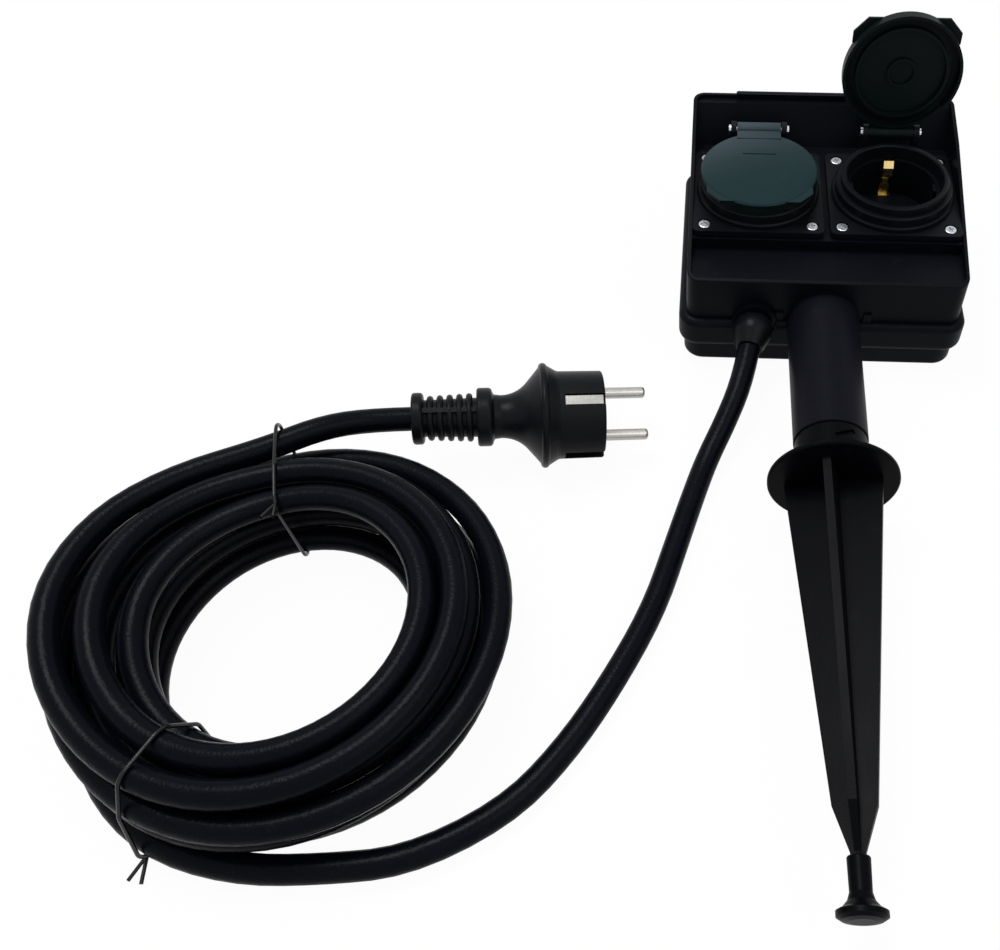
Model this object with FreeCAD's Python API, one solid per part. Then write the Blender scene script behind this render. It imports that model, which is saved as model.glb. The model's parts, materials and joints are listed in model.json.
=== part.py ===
import FreeCAD, Part

import math
import os

from FreeCAD import Base

# Garden socket spike: a two-way outlet box lying on its back, with its ground spike and coiled lead.
# Sizes in millimetres. X to the right, Y away from the spike tip, Z up out of the socket face.

os.makedirs("parts", exist_ok=True)
V = Base.Vector

# Driving dimensions of the box
box_width = 122.4
box_length = 104.0
wall = 1.6                # front housing
rear_wall = 3.2
corner_r = 5.5
split_z = 26.2            # joint between front and rear housing, on the stem's axis
rim_front_z = 48.0        # front rim over the stem
rim_top_z = 72.0          # rain hood at the far end
knee_back = 34.0          # where the side cheeks bend, from the far end
knee_z = 67.0
strip_drop = 0.4          # lower strip under the front rim
step_gap = 1.25           # between the step up to the sockets and their flanges
plateau_z = 53.0
hood_back = 5.6           # hood surface's upper edge from the far end
hood_run = 8.4
hood_drop = 1.6           # hood surface under its rim
brow_length = 82.0
brow_height = 1.2
brow_depth = 2.6
band_out = 3.4            # the rear housing's bulged band stands out this far
band_z = 10.6             # lower edge of the band
back_inset = 2.4          # rear part inside the band
back_corner_r = 9.0
back_edge_r = 2.6
floor_t = 2.6
seal_w = 1.0
seal_h = 1.8
fit_gap = 0.1
running_gap = 0.3

# Box screws
box_screw_inset = 9.0
box_boss_r = 3.9
box_screw_r = 1.8
box_screw_head_r = 3.5
box_screw_head_h = 2.4
box_screw_tip_z = 40.0
box_screw_well = 6.0      # depth of the well under each head

# Socket inserts
socket_pitch = 60.8
socket_back = 52.0        # sockets' centres from the far end
gasket_t = 0.7
flange_half = 28.95
flange_t = 2.5
flange_r = 3.0
base_ring_r = 27.6
base_ring_h = 2.4
mid_ring_r = 26.2
mid_ring_h = 6.4
collar_r = 24.0
collar_h = 10.0
mouth_r = 21.5
ledge_depth = 6.3
recess_r = 19.5
recess_depth = 17.5
recess_floor_t = 2.5
body_r = 23.0
rib_w = 5.0
rib_in = 1.6
pin_pitch = 19.0
contact_hole_r = 2.75
flange_screw_offset = 23.8
flange_screw_r = 1.5
flange_screw_head_r = 2.7
flange_screw_head_h = 1.5
flange_screw_length = 9.0
flange_boss_r = 3.2

# Contacts behind the recess
strip_w = 4.5
strip_t = 0.8
strip_waist = 2.6
strip_set_back = 0.9      # earth strip behind the recess wall
knee_in = 1.9             # the earth contact's knee stands this far into the recess
sleeve_r = 3.3
sleeve_bore_r = 2.45
sleeve_length = 12.0
back_cap_r = 22.4
back_cap_h = 12.0
earth_tab_y = 11.0        # earth tab beyond the socket's centre
tab_z = 21.5              # lower end of the contacts' tabs

# Lids and hinges
lid_r = 26.0
lid_reach = 29.5          # hinge axis to the lid's centre
hinge_z = 67.8
lid_open = 95.0           # degrees
skirt_t = 1.3
skirt_gap = 0.7
lid_plate_t = 1.6
lid_dome = 1.0
lid_lift = 0.7            # lid plate over the collar's rim
lid_rim_h = 1.4           # what is left of the skirt beside the hinge
inner_ring_r = 20.3
inner_ring_t = 1.2
inner_ring_h = 2.2
boss_ring_r = 6.4
boss_ring_t = 1.1
boss_ring_h = 1.2
wing_half = 23.2
wing_low = 12.5
wing_mid = 17.3
wing_top = 23.3
wing_chamfer_x = 17.4
wing_root_x = 9.5
wing_t = 1.3
barrel_r = 3.2
barrel_half = 10.0
ear_gap = 0.35
ear_t = 2.5
ear_r = 3.6
ear_foot_y0 = 24.3        # from the socket's centre
hinge_pin_r = 1.25
hinge_pin_head_r = 2.1
hinge_pin_head_t = 1.0
seal_ring_t = 0.4

# Stem, spike and tip cap
stem_r0 = 16.0
stem_r1 = 15.3
stem_length = 70.4
stem_bore_r = 13.2
stem_flange_r = 18.4
stem_flange_t = 2.6
stem_rib_t = 2.2
stem_rib_half = 21.0
spigot_length = 26.0
spigot_r = 12.9
spigot_bore_r = 10.4
neck_length = 17.4
neck_band = 9.6           # bayonet part of the neck, a little slimmer than the stem
neck_band_in = 0.5
neck_flare = 1.3
disc_r = 26.2
disc_t = 2.6
fin_r0 = 19.5
fin_r1 = 7.4
fin_r2 = 2.5
fin_r3 = 1.5
fin_taper_y = -218.0
fin_neck_y = -232.5
fin_tip_y = -243.5
fin_root_t = 4.6
fin_edge_t = 3.2
fin_roll = 15.0
slot_depth = 1.8
slot_w = 2.2
slot_length = 9.0
slot_tilt = 24.0
cap_y0 = -233.5
cap_y1 = -252.5
cap_sleeve_r = 3.8
cap_bore_r = 2.8
cap_bore_end_y = -244.2
cap_head_r = 8.1
cap_head_t = 3.4
cap_pull = 11.0

# Cable entry
entry_x = -30.6
entry_boss_r = 9.8
entry_boss_out = 2.6
entry_boss_in = 12.0
boot_r = 8.8              # thickest part of the bulb
boot_back_r = 7.6
boot_end_r = 6.0
boot_length = 14.0
boot_dive = 12.0          # degrees that the boot points down
clamp_w = 26.0
clamp_t = 5.0
clamp_y = 17.0
clamp_screw_r = 1.5
clamp_screw_pitch = 18.0
lead_inner_y = 25.0       # where the lead's sheath ends inside the box
core_r = 1.3

# Cable, coil and ties
cable_d = 10.0
coil_x = -199.3
coil_y = -160.8
coil_r_out = 78.0
coil_r_in = 46.4
coil_r_last = 70.0        # where the top layer ends
coil_turns = 10.394
layer_pitch = 10.5
layers = 4
coil_start_deg = -90.0
tie_d = 1.4
tie_gap = 0.6
tie_far_deg = 104.0
tie_near_deg = -114.0
tie_tail = 9.0

# Plug
plug_x = -171.8           # cable end of the plug
plug_y = -65.7
plug_yaw = 10.0           # degrees
plug_roll = 20.0
plug_tilt = 7.0           # pins lower than the cable end, which comes off the coil
plug_length = 78.4
plug_rim_r = 22.0
plug_rim_x = 53.2
plug_front_r = 18.4
plug_neck_r = 9.0
plug_flare_x = 36.0       # the neck begins to widen
plug_flare_r = 14.0
plug_flare_deg = 50.0
relief_r = 10.7
relief_t = 4.6
relief_core_r = 7.6
relief_collar_r = 12.2
relief_collar_x = 26.2
relief_collar_t = 6.4
relief_ribs = 5
relief_rib_x = 7.4
relief_rib_pitch = 3.95
relief_rib_r = 9.3
relief_rib_growth = 0.2
relief_rib_t = 2.6
guide_length = 16.6       # side grooves for the socket's ribs
guide_w = 7.0
guide_depth = 3.0
strip_seat = 16.2         # under the plug's own earth strips
plug_pin_r = 2.4
plug_pin_length = 19.0
plug_pin_in = 9.0
plug_pin_root_r = 2.1

# Sizes worked out from the driving ones
cable_r = cable_d / 2
half_w = box_width / 2
strip_z = rim_front_z - strip_drop
knee_y = box_length - knee_back
hood_head_y = box_length - hood_back
hood_foot_y = hood_head_y - hood_run
socket_y = box_length - socket_back
step_y = socket_y - flange_half - step_gap
flange_z = plateau_z + gasket_t
face_z = flange_z + flange_t
collar_z = face_z + collar_h
ledge_z = collar_z - ledge_depth
recess_z = ledge_z - recess_depth
body_z = recess_z - recess_floor_t
lid_under_z = collar_z + lid_lift
skirt_r = collar_r + skirt_gap
skirt_z = face_z + mid_ring_h + running_gap
hinge_y = socket_y + lid_reach
neck_y0 = -stem_length - running_gap
neck_y1 = neck_y0 - neck_length
disc_y1 = neck_y1 - disc_t
coil_z = cable_r + tie_d + tie_gap + 0.05
last_share = (coil_r_last - coil_r_in) / (coil_r_out - coil_r_in)
coil_span = coil_turns / (layers - 1 + last_share)
coil_pitch = (coil_r_out - coil_r_in) / coil_span
tilt = math.radians(plug_tilt)
plug_z = plug_rim_r * math.cos(tilt) + plug_rim_x * math.sin(tilt) + 0.16
mid_y = (cap_y1 + box_length + band_out) / 2
sides = (("left", -socket_pitch / 2), ("right", socket_pitch / 2))


def polygon(points):
    return Part.Face(Part.makePolygon(points + [points[0]]))


def plate_x(points, x0, x1):
    """A side profile of (y, z) points, as thick as from x0 to x1."""
    face = polygon([V(x0, y, z) for y, z in points])
    return face.extrude(V(x1 - x0, 0, 0))


def plate_z(points, z0, z1):
    face = polygon([V(x, y, z0) for x, y in points])
    return face.extrude(V(0, 0, z1 - z0))


def rounded_block(x0, x1, y0, y1, r, z0, z1):
    box = Part.makeBox(x1 - x0, y1 - y0, z1 - z0, V(x0, y0, z0))
    upright = [e for e in box.Edges if abs(e.tangentAt(e.FirstParameter).z) > 0.9]
    return box.makeFillet(r, upright)


def rod(x, y, z0, z1, r):
    return Part.makeCylinder(r, z1 - z0, V(x, y, z0))


def rod_y(x, z, y0, y1, r):
    return Part.makeCylinder(r, y1 - y0, V(x, y0, z), V(0, 1, 0))


def rod_x(y, z, x0, x1, r):
    return Part.makeCylinder(r, x1 - x0, V(x0, y, z), V(1, 0, 0))


def turned(points):
    """A solid of (radius, height) points turned about Z."""
    face = polygon([V(r, 0, h) for r, h in points])
    return face.revolve(V(0, 0, 0), V(0, 0, 1), 360)


def turned_y(points, x, z):
    """A solid of (radius, y) points turned about a line along Y."""
    solid = turned([(r, h) for r, h in points])
    solid.rotate(V(0, 0, 0), V(1, 0, 0), -90)
    solid.translate(V(x, 0, z))
    return solid


def outline(start, steps):
    """A closed face in the XZ plane. A step of one point is a line, of two an arc through the first."""
    begin = V(start[0], 0, start[1])
    at = begin
    edges = []
    for step in steps:
        points = [V(r, 0, h) for r, h in step]
        if len(points) == 1:
            edges.append(Part.LineSegment(at, points[0]).toShape())
        else:
            edges.append(Part.Arc(at, points[0], points[1]).toShape())
        at = points[-1]
    edges.append(Part.LineSegment(at, begin).toShape())
    return Part.Face(Part.Wire(edges))


def ring(r_out, r_in, z0, z1):
    return Part.makeCylinder(r_out, z1 - z0, V(0, 0, z0)).cut(
        Part.makeCylinder(r_in, z1 - z0, V(0, 0, z0)))


def outer_edges(solid, z):
    """Edges that lie in the plane at z."""
    return [e for e in solid.Edges
            if abs(e.BoundBox.ZMin - z) < 0.01 and abs(e.BoundBox.ZMax - z) < 0.01]


def fuse(first, others):
    return first.multiFuse(others).removeSplitter()


def export(shape, name):
    moved = shape.copy()
    moved.translate(V(0, -mid_y, 0))
    moved.exportStep("parts/" + name + ".step")
    kinds = "solids %d" % len(moved.Solids)
    print(name, kinds, "volume %.0f" % moved.Volume, "valid", moved.isValid())


def box_screw_places():
    a = half_w - box_screw_inset
    return [(-a, box_screw_inset), (a, box_screw_inset),
            (-a, box_length - box_screw_inset), (a, box_length - box_screw_inset)]


def flange_screw_places(x):
    a = flange_screw_offset
    return [(x - a, socket_y - a), (x + a, socket_y - a), (x - a, socket_y + a), (x + a, socket_y + a)]


# Front housing: walls with sloping cheeks round a stepped front, and the rain hood
def panel_line(drop, shift):
    """The front's side line, moved in by a wall's thickness for the inner face."""
    slope_run = hood_head_y - hood_foot_y
    slope_rise = rim_top_z - hood_drop - plateau_z
    length = math.hypot(slope_run, slope_rise)
    along = shift * length / slope_rise
    low_y = hood_foot_y + along - drop * slope_run / slope_rise
    high_y = hood_head_y + along - drop * slope_run / slope_rise
    return [(step_y + shift, strip_z - drop), (step_y + shift, plateau_z - drop),
            (low_y, plateau_z - drop), (high_y, rim_top_z - hood_drop - drop)]


def front_housing():
    outer = rounded_block(-half_w, half_w, 0, box_length, corner_r, split_z, rim_top_z)
    cheeks = [(-1, split_z - 1), (-1, rim_front_z), (0, rim_front_z), (knee_y, knee_z),
              (box_length - wall, rim_top_z), (box_length + 1, rim_top_z), (box_length + 1, split_z - 1)]
    shell = outer.common(plate_x(cheeks, -half_w - 1, half_w + 1))
    above = [(wall, strip_z)] + panel_line(0, 0)
    above += [(box_length - wall, rim_top_z - hood_drop), (box_length - wall, rim_top_z + 5),
              (wall, rim_top_z + 5)]
    tray = plate_x(above, -half_w, half_w)
    inside = rounded_block(wall - half_w, half_w - wall, wall, box_length - wall, corner_r - wall,
                           split_z - 1, rim_top_z + 6)
    shell = shell.cut(tray.common(inside))
    below = [(wall, strip_z - wall)] + panel_line(wall, wall)
    below += [(box_length - wall, rim_top_z - hood_drop - wall), (box_length - wall, split_z - 1),
              (wall, split_z - 1)]
    shell = shell.cut(plate_x(below, -half_w, half_w).common(inside))
    bosses = []
    for x, y in box_screw_places():
        top = strip_z - wall / 2 if y < socket_y else plateau_z - wall / 2
        bosses.append(rod(x, y, split_z, top, box_boss_r))
    for name, x in sides:
        for px, py in flange_screw_places(x):
            depth = flange_screw_length + 1.5
            bosses.append(rod(px, py, plateau_z - depth, plateau_z - wall / 2, flange_boss_r))
    brow = rounded_block(-brow_length / 2, brow_length / 2, box_length - brow_depth, box_length, 1.0,
                         rim_top_z - wall, rim_top_z + brow_height)
    entry = rod_y(entry_x, split_z, -entry_boss_out, wall, entry_boss_r)
    upper = Part.makeBox(box_width, 60, 60, V(-half_w, -30, split_z))
    tabs = [Part.makeBox(3.6, 1.6, 5.0, V(x - 1.8, -1.0, split_z)) for x in (-19.6, 19.6)]
    shell = fuse(shell, bosses + [brow, entry.common(upper)] + tabs)
    shell = shell.cut(rod_y(0, split_z, -5, wall + 1, stem_r0 + fit_gap))
    shell = shell.cut(rod_y(entry_x, split_z, -10, wall + 1, boot_neck_r() + fit_gap))
    for x, y in box_screw_places():
        shell = shell.cut(rod(x, y, split_z - 1, box_screw_tip_z + 1, box_screw_r + fit_gap))
    for name, x in sides:
        shell = shell.cut(eight_sided(x, socket_y, body_r + running_gap, plateau_z - 12, plateau_z + 1))
        for px, py in flange_screw_places(x):
            tip = face_z - flange_screw_head_h - flange_screw_length - 0.5
            shell = shell.cut(rod(px, py, tip, plateau_z + 1, flange_screw_r + fit_gap))
    rim = [e for e in shell.Edges if abs(e.BoundBox.ZMin - e.BoundBox.ZMax) < 0.01
           and abs(e.BoundBox.ZMin - rim_front_z) < 0.01 and e.BoundBox.YMax < 0.01]
    return shell.makeFillet(0.6, rim) if rim else shell


def eight_sided(x, y, r, z0, z1):
    """A prism of eight sides round a circle of radius r."""
    reach = r / math.cos(math.pi / 8)
    corners = [math.pi / 8 + i * math.pi / 4 for i in range(8)]
    return plate_z([(x + reach * math.cos(a), y + reach * math.sin(a)) for a in corners], z0, z1)


def boot_neck_r():
    return cable_r + 1.6


# Rear housing: a bulged band over a smaller, rounded back
def rear_housing():
    band = rounded_block(-half_w - band_out, half_w + band_out, -band_out, box_length + band_out,
                         back_corner_r, band_z, split_z)
    band = band.makeFillet(band_out - 0.3, outer_edges(band, split_z))
    band = band.makeFillet(4.0, outer_edges(band, band_z))
    out = band_out - back_inset
    back = rounded_block(-half_w - out, half_w + out, -out, box_length + out, back_corner_r, 0, band_z + 4)
    back = back.makeFillet(back_edge_r, outer_edges(back, 0))
    shell = fuse(band, [back])
    hollow = rounded_block(rear_wall - half_w, half_w - rear_wall, rear_wall, box_length - rear_wall,
                           corner_r - rear_wall, floor_t, split_z + 1)
    shell = shell.cut(hollow)
    ribs = [rod(x, y, floor_t - 1, split_z, box_boss_r) for x, y in box_screw_places()]
    rib_y = rear_wall + stem_flange_t + fit_gap
    ribs.append(Part.makeBox(2 * stem_rib_half, stem_rib_t, split_z - floor_t + 1,
                             V(-stem_rib_half, rib_y, floor_t - 1)))
    entry = rod_y(entry_x, split_z, -entry_boss_out - 1, rear_wall, entry_boss_r)
    lower = Part.makeBox(box_width, 60, split_z, V(-half_w, -30, 0))
    shell = fuse(shell, ribs + [entry.common(lower)])
    clamp_seat = Part.makeBox(clamp_w, clamp_t + 2, split_z - cable_r - floor_t,
                              V(entry_x - clamp_w / 2, clamp_y - clamp_t / 2 - 1, floor_t - 0.5))
    shell = fuse(shell, [clamp_seat])
    shell = shell.cut(rod_y(0, split_z, -band_out - 2, rear_wall + 0.01, stem_r0 + fit_gap))
    shell = shell.cut(rod_y(0, split_z, rear_wall, rib_y + stem_rib_t + 1, stem_bore_r))
    shell = shell.cut(rod_y(0, split_z, rear_wall, rib_y, stem_flange_r + fit_gap))
    shell = shell.cut(rod_y(entry_x, split_z, -10, rear_wall + 1, boot_neck_r() + fit_gap))
    shell = shell.cut(rod_y(entry_x, split_z, -10, -entry_boss_out, boot_r + 2 * running_gap))
    for x, y in box_screw_places():
        shell = shell.cut(rod(x, y, -1, split_z + 1, box_screw_r + fit_gap))
        shell = shell.cut(rod(x, y, -1, box_screw_well, box_screw_head_r + fit_gap))
    for sx in (-1, 1):
        shell = shell.cut(rod(entry_x + sx * clamp_screw_pitch / 2, clamp_y, floor_t + 3, split_z,
                              clamp_screw_r + fit_gap))
    return shell.cut(seal_path(fit_gap, split_z - seal_h, split_z + 1))


def seal_path(gap, z0, z1):
    """The ring that the housing seal fills, between the wall's faces, broken by stem and lead."""
    mid = wall / 2
    half = seal_w / 2 + gap
    outer = rounded_block(mid - half - half_w, half_w - mid + half, mid - half, box_length - mid + half,
                          corner_r - mid + half, z0, z1)
    inner = rounded_block(mid + half - half_w, half_w - mid - half, mid + half, box_length - mid - half,
                          corner_r - mid - half, z0 - 1, z1 + 1)
    path = outer.cut(inner)
    stem_gap = Part.makeBox(2 * stem_r0 + 6 - 2 * gap, 8, 30, V(-stem_r0 - 3 + gap, -4, z0 - 2))
    lead_gap = Part.makeBox(2 * entry_boss_r - 2 * gap, 8, 30, V(entry_x - entry_boss_r + gap, -4, z0 - 2))
    return path.cut(stem_gap).cut(lead_gap)


def housing_gasket():
    return seal_path(0, split_z - seal_h, split_z)


def screw(x, y, head_z, tip_z, shank_r, head_r, head_h, up):
    """One cross-head screw; up is 1 where its head is at the top, -1 where it is at the bottom."""
    base = min(head_z, head_z - up * head_h)
    head = rod(x, y, base, base + head_h, head_r)
    rim = outer_edges(head, head_z)
    head = head.makeFillet(head_h * 0.4, rim)
    low = min(tip_z, head_z - up * head_h)
    high = max(tip_z, head_z - up * head_h)
    shank = rod(x, y, low, high, shank_r)
    body = fuse(head, [shank])
    slot_z = head_z - head_h * 0.5 if up > 0 else head_z - 0.5
    for turn in (0, 90):
        bar = Part.makeBox(head_r * 1.1, head_r * 0.28, head_h * 0.5 + 0.5,
                           V(-head_r * 0.55, -head_r * 0.14, 0))
        bar.rotate(V(0, 0, 0), V(0, 0, 1), turn + 20)
        bar.translate(V(x, y, slot_z))
        body = body.cut(bar)
    return body


def housing_screws():
    return Part.makeCompound([
        screw(x, y, box_screw_well - box_screw_head_h, box_screw_tip_z, box_screw_r, box_screw_head_r,
              box_screw_head_h, -1) for x, y in box_screw_places()])


# Socket insert: square flange, stepped collar, recess with side ribs and earth grooves, hinge ears
def socket_insert():
    flange = rounded_block(-flange_half, flange_half, -flange_half, flange_half, flange_r, flange_z, face_z)
    profile = [(0, body_z), (body_r, body_z), (body_r, face_z - 0.5), (base_ring_r, face_z - 0.5),
               (base_ring_r, face_z + base_ring_h - 0.6), (base_ring_r - 0.6, face_z + base_ring_h),
               (mid_ring_r, face_z + base_ring_h), (mid_ring_r, face_z + mid_ring_h - 0.6),
               (mid_ring_r - 0.6, face_z + mid_ring_h), (collar_r, face_z + mid_ring_h),
               (collar_r, collar_z - 0.5), (collar_r - 0.5, collar_z), (mouth_r + 0.5, collar_z),
               (mouth_r, collar_z - 0.5), (mouth_r - 0.4, ledge_z), (recess_r, ledge_z),
               (recess_r, recess_z), (0, recess_z)]
    flange = flange.cut(rod(0, 0, flange_z - 1, face_z + 1, body_r - 0.5))
    insert = fuse(flange, [turned(profile)])
    for sx in (-1, 1):
        hole = rod(sx * pin_pitch / 2, 0, body_z - 1, recess_z + 1, contact_hole_r)
        insert = insert.cut(hole)
        x0 = recess_r - rib_in if sx > 0 else -recess_r - 1
        rib = Part.makeBox(rib_in + 1, rib_w, ledge_z - recess_z, V(x0, -rib_w / 2, recess_z))
        insert = insert.fuse(rib)
        reach = recess_r + strip_set_back + strip_t + 0.2
        y0 = recess_r - 3 if sx > 0 else -reach
        groove = Part.makeBox(strip_w + 0.6, reach - recess_r + 3, ledge_z - body_z + 2,
                              V(-strip_w / 2 - 0.3, y0, body_z - 1))
        insert = insert.cut(groove)
    for x, y in flange_screw_places(0):
        insert = insert.cut(rod(x, y - socket_y, flange_z - 1, face_z + 1, flange_screw_r + fit_gap))
        insert = insert.cut(rod(x, y - socket_y, face_z - flange_screw_head_h, face_z + 1,
                                flange_screw_head_r + running_gap))
    ears = []
    for sx in (-1, 1):
        x0 = barrel_half + ear_gap if sx > 0 else -barrel_half - ear_gap - ear_t
        foot = [(ear_foot_y0, face_z - 1), (flange_half, face_z - 1), (lid_reach + ear_r, hinge_z - 2.0),
                (lid_reach + ear_r, hinge_z), (lid_reach - ear_r, hinge_z)]
        ear = plate_x(foot, x0, x0 + ear_t)
        ear = ear.fuse(rod_x(lid_reach, hinge_z, x0, x0 + ear_t, ear_r))
        ears.append(ear.removeSplitter())
    insert = fuse(insert, ears)
    return insert.cut(rod_x(lid_reach, hinge_z, -20, 20, hinge_pin_r + 0.02))


def socket_gasket():
    pad = rounded_block(-flange_half + 0.5, flange_half - 0.5, -flange_half + 0.5, flange_half - 0.5,
                        flange_r, plateau_z, flange_z)
    pad = pad.cut(rod(0, 0, plateau_z - 1, flange_z + 1, body_r + running_gap))
    for x, y in flange_screw_places(0):
        pad = pad.cut(rod(x, y - socket_y, plateau_z - 1, flange_z + 1, flange_screw_r + fit_gap))
    return pad


def socket_screws():
    top = face_z - 0.1
    return Part.makeCompound([
        screw(x, y - socket_y, top, top - flange_screw_head_h + 0.1 - flange_screw_length, flange_screw_r,
              flange_screw_head_r, flange_screw_head_h - 0.1, 1) for x, y in flange_screw_places(0)])


def earth_clip():
    """A brass strip under the recess, its two legs bent up to contact knees near the ledge."""
    foot_y = recess_r + strip_set_back
    knee_y0 = recess_r - knee_in
    knee_low = recess_z + 9.5
    knee_high = ledge_z - 3.2
    tip_z = ledge_z - 0.6
    inner = [(foot_y, body_z), (foot_y, knee_low - 3.0), (knee_y0, knee_low), (knee_y0, knee_high),
             (recess_r + 0.2, tip_z)]
    outer = [(y + strip_t, z) for y, z in reversed(inner)]
    outer[-1] = (foot_y + strip_t, body_z - strip_t)
    right_side = inner + outer
    left_side = [(-y, z) for y, z in reversed(right_side)]
    clip = plate_x(right_side + left_side, -strip_w / 2, strip_w / 2)
    waist_z = recess_z + 4.0
    for sx in (-1, 1):
        x0 = strip_waist / 2 if sx > 0 else -strip_w
        notch = Part.makeBox(strip_w - strip_waist / 2, 60, knee_low - 2.0 - waist_z, V(x0, -30, waist_z))
        clip = clip.cut(notch)
    tab = Part.makeBox(4.0, strip_t, body_z - tab_z - 0.2, V(-2.0, earth_tab_y, tab_z))
    return fuse(clip, [tab])


def contact_pair():
    top = body_z - fit_gap
    sleeves = []
    for sx in (-1, 1):
        tube = ring(sleeve_r, sleeve_bore_r, top - sleeve_length, top)
        cut = Part.makeBox(sleeve_r + 1, 0.8, sleeve_length * 0.7, V(0, -0.4, top - sleeve_length * 0.7))
        tail = Part.makeBox(2 * sleeve_r - 1.2, 2.0, top - sleeve_length + 1.0 - tab_z,
                            V(-sleeve_r + 0.6, -1.0, tab_z))
        piece = fuse(tube.cut(cut), [tail])
        piece.translate(V(sx * pin_pitch / 2, 0, 0))
        sleeves.append(piece)
    return Part.makeCompound(sleeves)


def back_cap():
    """The insulating carrier under the recess, with pockets for the contacts and the earth strip."""
    body = turned([(0, body_z - back_cap_h), (back_cap_r - 1, body_z - back_cap_h),
                   (back_cap_r, body_z - back_cap_h + 1), (back_cap_r, body_z), (0, body_z)])
    for sx in (-1, 1):
        body = body.cut(rod(sx * pin_pitch / 2, 0, body_z - back_cap_h - 1, body_z + 1,
                            sleeve_r + running_gap))
    channel = Part.makeBox(strip_w + 0.6, 60, strip_t + 0.1,
                           V(-strip_w / 2 - 0.3, -30, body_z - strip_t - 0.1))
    slot = Part.makeBox(4.4, strip_t + 0.4, 40, V(-2.2, earth_tab_y - 0.2, body_z - 30))
    return body.cut(channel).cut(slot)


def hinge_pin():
    reach = barrel_half + ear_gap + ear_t
    shank = rod_x(lid_reach, hinge_z, -reach, reach, hinge_pin_r)
    heads = []
    for x0 in (-reach - hinge_pin_head_t, reach):
        heads.append(rod_x(lid_reach, hinge_z, x0, x0 + hinge_pin_head_t, hinge_pin_head_r))
    return fuse(shank, heads)


# Lid: domed plate with skirt, inner rings, corner wings at the free edge and a barrel in the ears
def lid():
    top = lid_under_z + lid_plate_t
    plate = [(0, lid_under_z), (skirt_r, lid_under_z), (skirt_r, skirt_z), (lid_r, skirt_z),
             (lid_r, top - 0.7), (lid_r - 0.7, top), (lid_r - 4.0, top + lid_dome * 0.35),
             (lid_r - 12.0, top + lid_dome * 0.8), (0, top + lid_dome)]
    body = turned(plate)
    near_hinge = Part.makeBox(60, 20, lid_under_z - lid_rim_h + 10, V(-30, 14.5, -10))
    body = body.cut(near_hinge)
    rings = [ring(inner_ring_r, inner_ring_r - inner_ring_t, lid_under_z - inner_ring_h, lid_under_z + 0.5),
             ring(boss_ring_r, boss_ring_r - boss_ring_t, lid_under_z - boss_ring_h, lid_under_z + 0.5)]
    for sx in (-1, 1):
        wing = [(sx * wing_half, -wing_low), (sx * wing_half, -wing_mid), (sx * wing_chamfer_x, -wing_top),
                (sx * wing_root_x, -wing_top), (sx * wing_root_x, -wing_low)]
        rings.append(plate_z(wing, top - 0.2 - wing_t, top - 0.2))
    body = fuse(body, rings)
    tab = Part.makeBox(2 * barrel_half, lid_reach - lid_r + 5, lid_plate_t + 0.6,
                       V(-barrel_half, lid_r - 5, lid_under_z))
    barrel = rod_x(lid_reach, hinge_z, -barrel_half, barrel_half, barrel_r)
    body = fuse(body, [tab, barrel])
    body = body.cut(rod_x(lid_reach, hinge_z, -20, 20, hinge_pin_r + 0.06))
    line = Part.makeBox(15.0, 0.7, 1.0, V(-7.5, 8.5, top + lid_dome * 0.55))
    return body.cut(line)


def lid_seal():
    return ring(collar_r - 0.3, mouth_r + 0.3, lid_under_z - seal_ring_t, lid_under_z)


def opened(shape):
    """The lid or its seal turned up to the open position."""
    shape.rotate(V(0, lid_reach, hinge_z), V(-1, 0, 0), lid_open)
    return shape


# Stem: a tapered tube whose flange sits behind the box's lower wall
def stem():
    end = -stem_length
    flange_y = rear_wall + stem_flange_t
    profile = [(stem_bore_r, end), (stem_r1 - 0.3, end), (stem_r1, end + 0.3), (stem_r0, -1.0),
               (stem_r0, rear_wall), (stem_flange_r, rear_wall), (stem_flange_r, flange_y),
               (stem_bore_r, flange_y)]
    return turned_y(profile, 0, split_z)


def cross_section(y, reach, root_t, edge_t):
    """One station of the four fins, as a closed line of twelve points."""
    points = []
    for quarter in range(4):
        turn = math.radians(90 * quarter + fin_roll)
        ux, uz = math.cos(turn), math.sin(turn)
        corner = root_t / 2
        points.append(V(ux * corner + uz * corner, y, split_z + uz * corner - ux * corner))
        points.append(V(ux * reach + uz * edge_t / 2, y, split_z + uz * reach - ux * edge_t / 2))
        points.append(V(ux * reach - uz * edge_t / 2, y, split_z + uz * reach + ux * edge_t / 2))
    return Part.makePolygon(points + [points[0]])


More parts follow.
